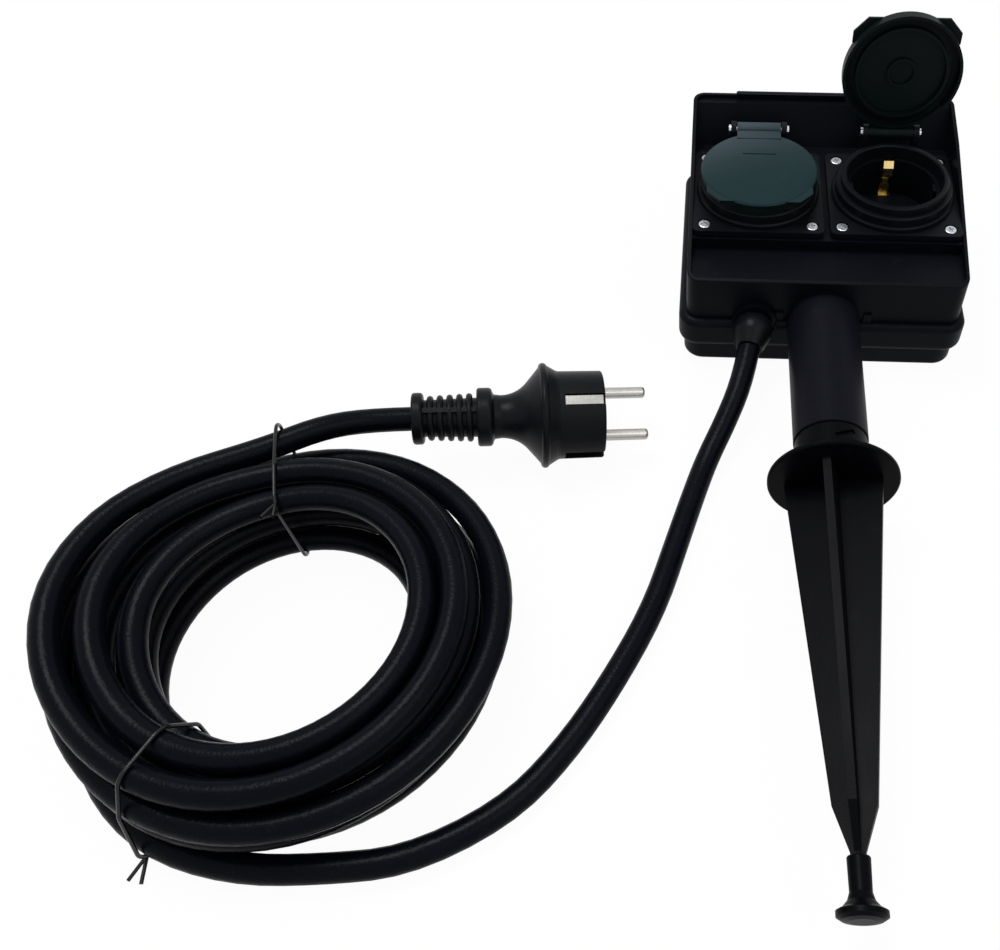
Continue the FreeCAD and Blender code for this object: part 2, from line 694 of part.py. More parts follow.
def spike():
    band_r = stem_r1 - neck_band_in
    root = [(spigot_bore_r, neck_y0 + spigot_length), (spigot_r - 0.8, neck_y0 + spigot_length),
            (spigot_r, neck_y0 + spigot_length - 0.8), (spigot_r, neck_y0), (band_r - 0.3, neck_y0),
            (band_r, neck_y0 - 0.3), (band_r, neck_y0 - neck_band),
            (stem_r1 + 0.2, neck_y0 - neck_band - 0.8),
            (stem_r1 + neck_flare, neck_y1), (disc_r - 0.8, neck_y1),
            (disc_r, neck_y1 - 0.8), (disc_r, disc_y1 + 0.6), (disc_r - 0.6, disc_y1), (0, disc_y1),
            (0, neck_y1 + 2), (spigot_bore_r, neck_y1 + 2)]
    body = turned_y(root, 0, split_z)
    for step in range(6):
        angle = 60 * step + fin_roll
        low = step % 2
        slot = Part.makeBox(slot_length - 2 * low, slot_w, slot_depth + 2,
                            V(-slot_length / 2 + low, -slot_w / 2, stem_r1 - slot_depth))
        slot.rotate(V(0, 0, 0), V(0, 0, 1), slot_tilt if low == 0 else 0)
        slot.translate(V(0, neck_y0 - 5.4 - 4.6 * low, 0))
        slot.rotate(V(0, 0, 0), V(0, 1, 0), angle)
        slot.translate(V(0, 0, split_z))
        body = body.cut(slot)
    stations = [(disc_y1 + 0.5, fin_r0, fin_root_t, fin_edge_t),
                (fin_taper_y, fin_r1, fin_root_t * 0.7, fin_edge_t * 0.9),
                (fin_neck_y, fin_r2, fin_root_t * 0.4, fin_edge_t * 0.6),
                (fin_tip_y, fin_r3, fin_root_t * 0.22, fin_edge_t * 0.3)]
    fins = Part.makeLoft([cross_section(*s) for s in stations], True, True)
    return fuse(body, [fins])


def tip_cap():
    head_y = cap_y1 + cap_head_t
    profile = [(cap_bore_r, cap_y0), (cap_sleeve_r - 0.3, cap_y0), (cap_sleeve_r, cap_y0 - 0.4),
               (cap_sleeve_r - 0.2, head_y + 5.0), (cap_sleeve_r + 0.6, head_y + 2.6),
               (cap_head_r - 2.0, head_y + 0.7), (cap_head_r, head_y - 0.4), (cap_head_r, cap_y1 + 1.4),
               (cap_head_r - 1.6, cap_y1 + 0.4), (cap_head_r - 4.0, cap_y1), (0, cap_y1),
               (0, cap_bore_end_y), (cap_bore_r, cap_bore_end_y)]
    return turned_y(profile, 0, split_z)


# Cable boot: a neck held between the housing halves, a nut-like bead and a cuff round the lead
def boot_direction():
    dive = math.radians(boot_dive)
    return V(-0.17, -math.cos(dive), -math.sin(dive)).normalize()


def lead_points(coil_start, start_along):
    """Corners of the lead's route, from inside the box to the coil."""
    turn_in = V(entry_x, -entry_boss_out, split_z)
    return [V(entry_x, lead_inner_y, split_z), turn_in, turn_in + boot_direction() * 31,
            V(-42.5, -49.0, 12.5), V(-50.0, -65.0, 6.3), V(-55.2, -83.0, 5.2), V(-61.0, -106.0, 5.2),
            V(-68.8, -137.5, 5.2), V(-82.3, -168.5, 5.2), V(-96.6, -194.6, 5.2), V(-114.1, -217.0, 5.3),
            V(-144.2, -234.9, 6.2), coil_start - start_along * 18.4, coil_start]


def cable_boot():
    """A bulb outside the wall on a neck inside it, both round the lead."""
    bulb = outline((0, 0), [[(boot_back_r, 0)], [(boot_r, 4.2), (boot_r - 0.9, 9.0)],
                            [(boot_end_r, boot_length)], [(0, boot_length)]])
    bulb = bulb.revolve(V(0, 0, 0), V(0, 0, 1), 360)
    bulb.Placement = FreeCAD.Placement(V(entry_x, -entry_boss_out, split_z) - boot_direction() * 0.4,
                                       FreeCAD.Rotation(V(0, 0, 1), boot_direction()))
    neck = rod_y(entry_x, split_z, -entry_boss_out - 2.5, rear_wall + 2.0, boot_neck_r())
    keep = Part.makeBox(60, 60, 60, V(entry_x - 30, -60 - entry_boss_out, split_z - 30))
    body = fuse(bulb.common(keep), [neck])
    route = lead_points(V(-200, -237, 6), V(-1, 0, 0))[:4]
    bore = tube(rounded_route(route, "boot bore"), route[0], V(0, -1, 0), cable_r + 0.03)
    return body.cut(bore)


def cord_clamp():
    """The saddle that holds the lead down inside the box."""
    z0 = split_z - cable_r + running_gap
    bar = Part.makeBox(clamp_w, clamp_t, cable_d + 2.0, V(entry_x - clamp_w / 2, clamp_y - clamp_t / 2, z0))
    bar = bar.cut(rod_y(entry_x, split_z, 0, 40, cable_r + 0.03))
    low = Part.makeBox(2 * cable_r + 0.06, 20, split_z - z0 + 1, V(entry_x - cable_r - 0.03, 8, z0 - 1))
    bar = bar.cut(low)
    for sx in (-1, 1):
        bar = bar.cut(rod(entry_x + sx * clamp_screw_pitch / 2, clamp_y, z0 - 1, z0 + 30,
                          clamp_screw_r + fit_gap))
    return bar


def cord_clamp_screws():
    top = split_z - cable_r + running_gap + cable_d + 2.0 + 1.6
    return Part.makeCompound([
        screw(entry_x + sx * clamp_screw_pitch / 2, clamp_y, top, floor_t + 4.0, clamp_screw_r, 2.8, 1.6, 1)
        for sx in (-1, 1)])


# Lead: free stretches as straight runs with tangent arcs
def rounded_route(points, name):
    """A wire through hand-chosen points, each corner an arc as large as its runs allow."""
    edges = []
    at = points[0]
    radii = []
    for i in range(1, len(points) - 1):
        back = points[i - 1] - points[i]
        ahead = points[i + 1] - points[i]
        short = min(back.Length, ahead.Length)
        turn = math.pi - back.getAngle(ahead)
        cut = 0.45 * short
        radius = cut / math.tan(turn / 2)
        radii.append(radius)
        start = points[i] + back.normalize() * cut
        end = points[i] + ahead.normalize() * cut
        middle = points[i] + (back + ahead).normalize() * (radius / math.cos(turn / 2) - radius)
        edges.append(Part.LineSegment(at, start).toShape())
        edges.append(Part.Arc(start, middle, end).toShape())
        at = end
    edges.append(Part.LineSegment(at, points[-1]).toShape())
    path = Part.Wire(edges)
    print(name, "length %.1f" % path.Length, "least radius %.1f" % min(radii))
    return path


def tube(path, start, along, r):
    ring_wire = Part.Wire([Part.Circle(start, along, r).toShape()])
    shell = Part.BRepOffsetAPI.MakePipeShell(path)
    shell.add(ring_wire)
    shell.build()
    shell.makeSolid()
    solid = shell.shape()
    wanted = math.pi * r * r * path.Length
    print("tube volume over section times length %.4f" % (abs(solid.Volume) / wanted))
    return solid


def inner_leads():
    """Three cores from the sheath's end to the left contacts, and three on to the right ones."""
    left_x, right_x = sides[0][1], sides[1][1]
    half = pin_pitch / 2
    z = tab_z + core_r + 0.2
    near = socket_y - 1.0
    far = socket_y + 1.0
    earth_near = socket_y + earth_tab_y
    earth_far = earth_near + strip_t
    start = lead_inner_y
    def contact_run(x, y, ahead):
        return [V(x, y, z), V(x, y + ahead, z)]
    routes = [
        [V(entry_x - 2.8, start, 26.4), V(entry_x - 2.8, start + 7, 26.4)]
        + contact_run(left_x - half, near, -8)[::-1],
        [V(entry_x + 2.8, start, 26.4), V(entry_x + 2.8, start + 7, 26.4)]
        + contact_run(left_x + half, near, -8)[::-1],
        [V(entry_x, start, 23.4), V(entry_x, start + 7, 23.4), V(entry_x - 0.8, start + 18, 19.6)]
        + contact_run(left_x, earth_near, -8)[::-1],
        contact_run(left_x - half, far, 7)
        + [V(left_x - half + 1, far + 15, 16), V(left_x + 12, far + 27, 9), V(right_x - 32, far + 27, 9.4),
           V(right_x - half - 1, far + 15, 16)] + contact_run(right_x - half, far, 7)[::-1],
        contact_run(left_x + half, far, 7)
        + [V(left_x + half + 2, far + 17, 17), V(-4, far + 22, 17.5), V(18, far + 24, 18.0),
           V(right_x + half - 2, far + 17, 17)] + contact_run(right_x + half, far, 7)[::-1],
        contact_run(left_x, earth_far, 7)
        + [V(left_x + 3, earth_far + 17, 14), V(-12, earth_far + 25, 7), V(12, earth_far + 25, 7.4),
           V(right_x - 3, earth_far + 17, 14)] + contact_run(right_x, earth_far, 7)[::-1]]
    cores = []
    for i, points in enumerate(routes):
        path = rounded_route(points, "core %d" % (i + 1))
        cores.append(tube(path, points[0], points[1] - points[0], core_r))
    return Part.makeCompound(cores)


def coil_centre():
    return V(coil_x, coil_y, 0)


def coil_state(turns):
    """Radius and height of the winding after so many turns."""
    span = coil_span
    layer = min(int(turns // span), layers - 1)
    part = turns - layer * span
    inward = layer % 2 == 0
    r = coil_r_out - coil_pitch * part if inward else coil_r_in + coil_pitch * part
    z = coil_z + layer_pitch * layer
    ramp = 0.25
    if part < ramp and layer > 0:
        z -= layer_pitch * (0.5 - part / (2 * ramp))
    if span - part < ramp and layer < layers - 1:
        z += layer_pitch * (0.5 - (span - part) / (2 * ramp))
    return r, z


def coil_point(turns):
    r, z = coil_state(turns)
    a = math.radians(coil_start_deg) - 2 * math.pi * turns
    return V(coil_x + r * math.cos(a), coil_y + r * math.sin(a), z)


def coil_tangent(turns):
    """Direction of the winding; level except at a change of layer."""
    step = 0.002
    along = coil_point(min(turns + step, coil_turns)) - coil_point(max(turns - step, 0))
    turned_back = abs(turns / coil_span - round(turns / coil_span)) < 0.001
    if not turned_back or turns < step or turns > coil_turns - step:
        along.z = 0
    return along.normalize()


def half_arc(a, ta, b):
    """The arc that leaves a along ta and ends at b."""
    chord = b - a
    half = chord.Length / 2
    angle = ta.getAngle(chord)
    if angle < 1e-5:
        return Part.LineSegment(a, b).toShape()
    reach = half / math.cos(angle)
    corner = a + ta * reach
    mid = (a + b) * 0.5
    sag = half / math.sin(angle) * (1 - math.cos(angle))
    top = mid + (corner - mid).normalize() * sag
    return Part.Arc(a, top, b).toShape()


def biarc(a, ta, b, tb):
    v = b - a
    t = ta + tb
    k = 2 * (1 - ta.dot(tb))
    vt = v.dot(t)
    vv = v.dot(v)
    d = (math.sqrt(vt * vt + k * vv) - vt) / k if k > 1e-9 else vv / (2 * vt)
    middle = ((a + ta * d) + (b - tb * d)) * 0.5
    first = half_arc(a, ta, middle)
    direction = ((b - tb * d) - (a + ta * d)).normalize()
    second = half_arc(middle, direction, b)
    return [first, second]


def coil_path():
    span = coil_span
    stations = []
    for layer in range(layers):
        start = layer * span + (0.25 if layer > 0 else 0)
        end = (layer + 1) * span - 0.25 if layer < layers - 1 else coil_turns
        count = max(1, round((end - start) / 0.25))
        stations += [start + (end - start) * i / count for i in range(count + 1)]
        if layer < layers - 1:
            stations.append((layer + 1) * span)
    first = coil_point(stations[0])
    first_along = coil_tangent(stations[0])
    last = coil_point(stations[-1])
    last_along = coil_tangent(stations[-1])
    start_end = first - first_along * cable_d
    stop_end = last + last_along * cable_d
    edges = [Part.LineSegment(start_end, first).toShape()]
    for s0, s1 in zip(stations, stations[1:]):
        edges += biarc(coil_point(s0), coil_tangent(s0), coil_point(s1), coil_tangent(s1))
    edges.append(Part.LineSegment(last, stop_end).toShape())
    return Part.Wire(edges), start_end, first_along, stop_end, last_along


def coil_gap(path):
    """Least gap of the winding to itself, on points of its path."""
    points = path.discretize(Distance=4.0)
    least = 1e9
    skip = 12
    for i, a in enumerate(points):
        for b in points[i + skip:]:
            gap = (a - b).Length
            if gap < least:
                least = gap
    return least - cable_d


def crossings(paths, out, side):
    """Where the lead's lines cross a tie's plane, as (distance from the coil's axis, height)."""
    places = []
    for path in paths:
        points = [p - coil_centre() for p in path.discretize(Distance=2.0)]
        for a, b in zip(points, points[1:]):
            before, after = a.dot(side), b.dot(side)
            if before * after <= 0 and before != after and a.dot(out) > 0:
                p = a + (b - a) * (before / (before - after))
                places.append((p.dot(out), p.z))
    return places


def hull(places):
    """The places that a taut loop touches, in order against the clock."""
    def chain(row):
        kept = []
        for p in row:
            while len(kept) > 1:
                (ax, ay), (bx, by) = kept[-2:]
                if (bx - ax) * (p[1] - ay) - (by - ay) * (p[0] - ax) > 3.0:
                    break
                kept.pop()
            kept.append(p)
        return kept[:-1]
    row = sorted(places)
    return chain(row) + chain(row[::-1])


def tie(angle_deg, paths, outside):
    """A wire drawn tight round the bundle, its twisted ends at the outside or in the coil's eye."""
    a = math.radians(angle_deg)
    out = V(math.cos(a), math.sin(a), 0)
    side = V(-math.sin(a), math.cos(a), 0)
    reach = cable_r + tie_gap + tie_d / 2
    touched = hull(crossings(paths, out, side))

    def at(place, direction):
        r, z = place
        return coil_centre() + out * (r + direction[0] * reach) + V(0, 0, z + direction[1] * reach)
    normals = []
    for (r0, z0), (r1, z1) in zip(touched, touched[1:] + touched[:1]):
        length = math.hypot(r1 - r0, z1 - z0)
        normals.append(((z1 - z0) / length, (r0 - r1) / length))
    edges = []
    for i, place in enumerate(touched):
        n0, n1 = normals[i - 1], normals[i]
        between = math.hypot(n0[0] + n1[0], n0[1] + n1[1])
        middle = ((n0[0] + n1[0]) / between, (n0[1] + n1[1]) / between)
        edges.append(Part.Arc(at(place, n0), at(place, middle), at(place, n1)).toShape())
        ahead = touched[(i + 1) % len(touched)]
        edges.append(Part.LineSegment(at(place, n1), at(ahead, n1)).toShape())
    start = at(touched[0], normals[-1])
    along = out * -normals[-1][1] + V(0, 0, normals[-1][0])
    loop = tube(Part.Wire(edges), start, along, tie_d / 2)
    knot = max(touched) if outside else min(touched, key=lambda p: p[0] - p[1])
    lean = (0.77, -0.64) if outside else (-0.71, 0.71)
    ends = []
    for s in (-1, 1):
        d = (out * (1 if outside else -1) + side * (0.25 + 0.3 * s) + V(0, 0, -0.12 if outside else 0.4))
        ends.append(Part.makeCylinder(tie_d / 2 - 0.05, tie_tail, at(knot, lean), d.normalize()))
    return fuse(loop, ends)


# Plug: ribbed strain relief, waist, grip rim and round body, turned about its own axis
def plug_place(solid):
    """Puts a solid modelled along +X from the cable end at the origin where the plug lies."""
    solid.rotate(V(0, 0, 0), V(1, 0, 0), plug_roll)
    solid.rotate(V(0, 0, 0), V(0, 1, 0), plug_tilt)
    solid.rotate(V(0, 0, 0), V(0, 0, 1), plug_yaw)
    solid.translate(V(plug_x, plug_y, plug_z))
    return solid


def plug_axis():
    a = math.radians(plug_yaw)
    return V(math.cos(a) * math.cos(tilt), math.sin(a) * math.cos(tilt), -math.sin(tilt))


def plug_profile():
    """The plug's outline from the cable end, as steps of (radius, place along the axis)."""
    collar_end = relief_collar_x + relief_collar_t
    turn = math.radians(plug_flare_deg)

    def flare(angle):
        return (plug_neck_r + plug_flare_r * (1 - math.cos(angle)),
                plug_flare_x + plug_flare_r * math.sin(angle))
    end_r, end_x = flare(turn)
    shoulder_r = plug_rim_r - 1.8
    shoulder_x = end_x + (shoulder_r - end_r) / math.tan(turn)
    return [
        [(relief_r - 1.2, 0)], [(relief_r - 0.35, 0.35), (relief_r, 1.2)], [(relief_r, relief_t - 1.4)],
        [(relief_r - 0.4, relief_t - 0.4), (relief_r - 1.4, relief_t)], [(relief_core_r, relief_t)],
        [(relief_core_r + 0.6, relief_collar_x)], [(relief_collar_r - 1.2, relief_collar_x)],
        [(relief_collar_r - 0.35, relief_collar_x + 0.35), (relief_collar_r, relief_collar_x + 1.2)],
        [(relief_collar_r, collar_end - 1.8)],
        [(relief_collar_r - 0.5, collar_end - 0.5), (relief_collar_r - 1.8, collar_end)],
        [(plug_neck_r + 0.3, collar_end + 0.7)], [(plug_neck_r, plug_flare_x)],
        [flare(turn / 2), (end_r, end_x)], [(shoulder_r, shoulder_x)],
        [(plug_rim_r, plug_rim_x), (plug_rim_r - 1.0, plug_rim_x + 2.1)],
        [(plug_front_r + 0.5, plug_rim_x + 5.6)], [(plug_front_r + 0.1, plug_rim_x + 6.6)],
        [(plug_front_r, plug_length - 1.0)],
        [(plug_front_r - 0.3, plug_length - 0.3), (plug_front_r - 1.0, plug_length)], [(0, plug_length)]]


def plug_body():
    body = outline((0, 0), plug_profile()).revolve(V(0, 0, 0), V(0, 0, 1), 360)
    body.rotate(V(0, 0, 0), V(0, 1, 0), 90)
    ribs = []
    for i in range(relief_ribs):
        x = relief_rib_x + i * relief_rib_pitch
        r = relief_rib_r + relief_rib_growth * i
        low, high = x - relief_rib_t / 2, x + relief_rib_t / 2
        rib = outline((0, low), [[(r - 1.2, low)], [(r, x), (r - 1.2, high)], [(0, high)]])
        rib = rib.revolve(V(0, 0, 0), V(0, 0, 1), 360)
        rib.rotate(V(0, 0, 0), V(0, 1, 0), 90)
        ribs.append(rib)
    bar_r = relief_rib_r + 0.3
    bar = Part.makeBox(relief_collar_x - relief_t + 1, 2.0, 2 * bar_r, V(relief_t - 0.5, -1.0, -bar_r))
    body = fuse(body, ribs + [bar])
    for s in (-1, 1):
        z = strip_seat if s > 0 else -strip_seat - 4.0
        notch = Part.makeBox(guide_length + 1, 4.8, 4.0, V(plug_length - guide_length, -2.4, z))
        body = body.cut(notch)
        y = plug_front_r - guide_depth if s > 0 else -plug_front_r - 2.0
        guide = Part.makeBox(guide_length + 1, guide_depth + 2.0, guide_w,
                             V(plug_length - guide_length, y, -guide_w / 2))
        body = body.cut(guide)
        hole = Part.makeCylinder(plug_pin_root_r, plug_pin_in,
                                 V(plug_length - plug_pin_in, s * pin_pitch / 2, 0), V(1, 0, 0))
        body = body.cut(hole)
    return plug_place(body)


def plug_pins():
    length = plug_length
    pins = []
    for s in (-1, 1):
        pin = Part.makeCylinder(plug_pin_r, plug_pin_length, V(length, s * pin_pitch / 2, 0), V(1, 0, 0))
        tip = [e for e in pin.Edges if e.Closed and e.BoundBox.XMin > length + 1]
        root = Part.makeCylinder(plug_pin_root_r, plug_pin_in,
                                 V(length - plug_pin_in, s * pin_pitch / 2, 0), V(1, 0, 0))
        pins.append(fuse(pin.makeFillet(1.5, tip), [root]))
    return plug_place(Part.makeCompound(pins))


def plug_earth_contacts():
    """The two side strips in their notches."""
    strips = []
    for s in (-1, 1):
        z = strip_seat if s > 0 else -strip_seat - 1.2
        corner = V(plug_length - guide_length + 0.2, -1.9, z)
        strips.append(Part.makeBox(guide_length - 1.2, 3.8, 1.2, corner))
    return plug_place(Part.makeCompound(strips))


def main():
    export(front_housing(), "front_housing")
    export(rear_housing(), "rear_housing")
    export(housing_gasket(), "housing_gasket")
    export(housing_screws(), "housing_screws")
    makers = (("socket_insert", socket_insert), ("socket_gasket", socket_gasket),
              ("socket_screws", socket_screws), ("earth_clip", earth_clip),
              ("contact_pair", contact_pair), ("socket_back", back_cap), ("hinge_pin", hinge_pin),
              ("lid", lid), ("lid_seal", lid_seal))
    for name, make in makers:
        for side, x in sides:
            piece = make()
            if side == "right" and name in ("lid", "lid_seal"):
                piece = opened(piece)
            piece.translate(V(x, socket_y, 0))
            export(piece, name + "_" + side)
    export(stem(), "stem")
    export(spike(), "spike")
    export(tip_cap(), "tip_cap")
    export(cable_boot(), "cable_boot")
    export(cord_clamp(), "cord_clamp")
    export(cord_clamp_screws(), "cord_clamp_screws")

    path, coil_start, start_along, coil_stop, stop_along = coil_path()
    print("coil length %.1f" % path.Length, "least gap %.2f" % coil_gap(path))
    export(tube(path, coil_start, start_along, cable_r), "cable_coil")

    lead = lead_points(coil_start, start_along)
    print("lead joins the coil at", coil_start, "along", start_along)
    export(tube(rounded_route(lead, "lead"), lead[0], lead[1] - lead[0], cable_r), "cable_lead")
    export(inner_leads(), "inner_leads")

    plug_end = V(plug_x, plug_y, plug_z)
    tail = [coil_stop, coil_stop + stop_along * 15, V(-204.5, -77.6, 36.0), plug_end - plug_axis() * 17,
            plug_end]
    print("tail leaves the coil at", coil_stop, "along", stop_along)
    tail_path = rounded_route(tail, "tail")
    export(tube(tail_path, tail[0], tail[1] - tail[0], cable_r), "cable_tail")

    export(plug_body(), "plug_body")
    export(plug_pins(), "plug_pins")
    export(plug_earth_contacts(), "plug_earth_contacts")
    export(tie(tie_far_deg, [path, tail_path], False), "tie_upper")
    export(tie(tie_near_deg, [path], True), "tie_lower")
    print("hinge axis y %.2f z %.2f" % (hinge_y - mid_y, hinge_z), "mid y %.2f" % mid_y)


main()
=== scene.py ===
import json
import math

import bpy
from mathutils import Matrix, Vector


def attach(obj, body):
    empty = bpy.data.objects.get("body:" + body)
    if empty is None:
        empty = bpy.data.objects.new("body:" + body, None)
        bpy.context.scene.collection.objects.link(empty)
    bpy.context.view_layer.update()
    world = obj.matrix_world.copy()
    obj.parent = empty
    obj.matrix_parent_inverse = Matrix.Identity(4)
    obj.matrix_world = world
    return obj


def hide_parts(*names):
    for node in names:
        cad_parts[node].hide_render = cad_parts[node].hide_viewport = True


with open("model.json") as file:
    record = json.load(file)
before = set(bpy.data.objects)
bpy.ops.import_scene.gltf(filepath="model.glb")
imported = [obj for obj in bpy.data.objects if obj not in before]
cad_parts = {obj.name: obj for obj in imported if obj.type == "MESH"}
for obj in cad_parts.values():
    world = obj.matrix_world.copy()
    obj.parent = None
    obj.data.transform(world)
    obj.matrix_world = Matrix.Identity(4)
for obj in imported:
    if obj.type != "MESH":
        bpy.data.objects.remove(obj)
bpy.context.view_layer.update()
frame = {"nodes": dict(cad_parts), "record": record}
nodes = frame["nodes"]
print("frame loaded,", len(nodes), "nodes")

# The camera stands where the photograph was taken, in metres
cameraLook = {
    "place": (-0.05215, -0.25271, 0.34518),
    "pitch": 53.41,   # degrees under the horizon
    "yaw": 2.51,
    "roll": -0.28,
    "lens": 36.0,
    "sensor": 36.0,
    "shiftX": -0.17534,
}


def makeCamera(look):
    pitch, yaw, roll = (math.radians(look[k]) for k in ("pitch", "yaw", "roll"))
    ahead = Vector((-math.sin(yaw) * math.cos(pitch), math.cos(yaw) * math.cos(pitch), -math.sin(pitch)))
    level = Vector((math.cos(yaw), math.sin(yaw), 0.0))
    above = level.cross(ahead)
    right = level * math.cos(roll) + above * math.sin(roll)
    up = above * math.cos(roll) - level * math.sin(roll)
    data = bpy.data.cameras.new("photoCamera")
    data.lens = look["lens"]
    data.sensor_width = look["sensor"]
    data.shift_x = look["shiftX"]
    data.clip_start = 0.01
    data.clip_end = 20.0
    camera = bpy.data.objects.new("photoCamera", data)
    bpy.context.scene.collection.objects.link(camera)
    turn = Matrix((right, up, -ahead)).transposed()
    camera.matrix_world = Matrix.Translation(look["place"]) @ turn.to_4x4()
    bpy.context.scene.camera = camera


makeCamera(cameraLook)

# The lead: one line from the box through the coil to the plug
shiftY = 0.07255   # the part's own Y shift, from the drawing's zero to the middle
cordLook = {
    "diameter": 0.010,
    "inBox": (-0.0306, 0.005, 0.0262),
    "bootTurn": (-0.0306, -0.0026, 0.0262),
    "bootRun": 0.031,
    "bootDive": 12.0,      # degrees
    "bootAside": -0.17,
    "lead": [(-0.0425, -0.0490, 0.0125), (-0.0500, -0.0650, 0.0063), (-0.0552, -0.0830, 0.0052),
             (-0.0610, -0.1060, 0.0052), (-0.0688, -0.1375, 0.0052), (-0.0823, -0.1685, 0.0052),
             (-0.0966, -0.1946, 0.0052), (-0.1141, -0.2170, 0.0053), (-0.1442, -0.2349, 0.0062)],
    "tail": [(-0.2045, -0.0776, 0.0360)],
    "beforeCoil": 0.0284,  # straight run into the first turn
    "afterCoil": 0.025,
    "beforePlug": 0.017,
    "intoPlug": 0.001,
    "length": 4.43,
}
coilLook = {
    "centre": (-0.1993, -0.1608),
    "outer": 0.078,
    "inner": 0.0464,
    "last": 0.070,         # where the top layer ends
    "turns": 10.394,
    "layers": 4,
    "layerPitch": 0.0105,
    "firstHeight": 0.00705,
    "start": -90.0,        # degrees
    "climb": 0.25,         # share of a turn for half a step up
    "pointsPerTurn": 16,
    "freeAt": 175.0,       # degrees: the turns fan out here, between the two ties
    "freeWide": 70.0,
    "fan": (0.0, 0.0, 0.0065, 0.0085),   # outward, by layer
    "lift": 0.28,          # share of the height by which the free part stands higher
    "uneven": 0.0005,      # how much the turns differ there
    "wander": 9.0,
}
plugLook = {
    "place": (-0.1718, -0.0657),
    "yaw": 10.0,
    "tilt": 7.0,
    "rim": 0.022,
    "rimAt": 0.0532,
    "floorGap": 0.00016,
}


def inFrame(point):
    return Vector((point[0], point[1] + shiftY, point[2]))


def plugAxis(look):
    yaw, tilt = math.radians(look["yaw"]), math.radians(look["tilt"])
    return Vector((math.cos(yaw) * math.cos(tilt), math.sin(yaw) * math.cos(tilt), -math.sin(tilt)))


def plugEnd(look):
    tilt = math.radians(look["tilt"])
    z = look["rim"] * math.cos(tilt) + look["rimAt"] * math.sin(tilt) + look["floorGap"]
    return inFrame((look["place"][0], look["place"][1], z))


# Turns in a whole layer; the last layer stops short
def coilSpan(look):
    share = (look["last"] - look["inner"]) / (look["outer"] - look["inner"])
    return look["turns"] / (look["layers"] - 1 + share)


# Even layers wind inward and odd ones outward, with half a step of height at each change
def coilPoint(look, turns, spread=1.0):
    span = coilSpan(look)
    layer = min(int(turns // span), look["layers"] - 1)
    part = turns - layer * span
    width = look["outer"] - look["inner"]
    inward = width * part / span
    r = look["outer"] - inward if layer % 2 == 0 else look["inner"] + inward
    z = look["firstHeight"] + look["layerPitch"] * layer
    if part < look["climb"] and layer > 0:
        z -= look["layerPitch"] / 2 * (1 - part / look["climb"])
    if span - part < look["climb"] and layer < look["layers"] - 1:
        z += look["layerPitch"] / 2 * (1 - (span - part) / look["climb"])
    degrees = (look["start"] - 360.0 * turns) % 360.0
    away = min(abs(degrees - look["freeAt"]) / look["freeWide"], 1.0)
    free = math.cos(away * math.pi / 2) ** 2
    r += free * look["fan"][layer] * (r - look["inner"]) / width
    r -= free * look["uneven"] * math.sin(look["wander"] * turns)
    z += free * look["lift"] * (z - look["firstHeight"])
    a = math.radians(degrees)
    return inFrame((look["centre"][0] + r * spread * math.cos(a),
                    look["centre"][1] + r * spread * math.sin(a), z))


def cordPoints():
    dive = math.radians(cordLook["bootDive"])
    bootWay = Vector((cordLook["bootAside"], -math.cos(dive), -math.sin(dive))).normalized()
    points = [inFrame(cordLook["inBox"]), inFrame(cordLook["bootTurn"])]
    points.append(points[-1] + bootWay * cordLook["bootRun"])
    points += [inFrame(p) for p in cordLook["lead"]]
    count = coilLook["pointsPerTurn"]
    spread = 1 / (0.75 + 0.25 * math.cos(2 * math.pi / count))   # the line cuts inside its points
    points.append(coilPoint(coilLook, 0.0) + Vector((cordLook["beforeCoil"], 0, 0)))
    total = int(coilLook["turns"] * count)
    points += [coilPoint(coilLook, i / count, spread) for i in range(total + 1)]
    last = coilPoint(coilLook, coilLook["turns"])
    justBefore = coilPoint(coilLook, coilLook["turns"] - 0.002)
    points.append(last + (last - justBefore).normalized() * cordLook["afterCoil"])
    points += [inFrame(p) for p in cordLook["tail"]]
    end, axis = plugEnd(plugLook), plugAxis(plugLook)
    points.append(end - axis * cordLook["beforePlug"])
    points.append(end + axis * cordLook["intoPlug"])
    return points


def makeCord():
    points = cordPoints()
    data = bpy.data.curves.new("leadCable", "CURVE")
    data.dimensions = "3D"
    data.bevel_depth = 1.0   # times each point's radius
    data.bevel_resolution = 6
    data.resolution_u = 4
    data.use_fill_caps = True
    spline = data.splines.new("NURBS")
    spline.points.add(len(points) - 1)
    for slot, point in zip(spline.points, points):
        slot.co = (*point, 1.0)
        slot.radius = cordLook["diameter"] / 2
    spline.order_u = 3
    spline.use_endpoint_u = True
    cord = bpy.data.objects.new("leadCable", data)
    bpy.context.scene.collection.objects.link(cord)
    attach(cord, "box")
    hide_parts("cable_lead", "cable_coil", "cable_tail")
    return cord


cable = makeCord()
print("cord laid")


# Shader maths: an expression on signals adds its Math nodes
class Signal:
    def __init__(self, tree, socket=None):
        self.tree, self.socket = tree, socket

    def make(self, kind, settings=None, inputs=None, output=0):
        node = self.tree.nodes.new(kind)
        for key, value in (settings or {}).items():
            setattr(node, key, value)
        for key, value in (inputs or {}).items():
            socket = node.inputs[key]
            if isinstance(value, Signal):
                self.tree.links.new(value.socket, socket)
            else:
                socket.default_value = value
        return Signal(self.tree, node.outputs[output] if len(node.outputs) else None)

    def maths(self, operation, first, second):
        return self.make("ShaderNodeMath", {"operation": operation}, {0: first, 1: second})

    def __add__(self, other):
        return self.maths("ADD", self, other)

    def __radd__(self, other):
        return self.maths("ADD", other, self)

    def __sub__(self, other):
        return self.maths("SUBTRACT", self, other)

    def __mul__(self, other):
        return self.maths("MULTIPLY", self, other)

    def clamped(self, low, high):
        return self.make("ShaderNodeClamp", {}, {"Value": self, "Min": low, "Max": high})


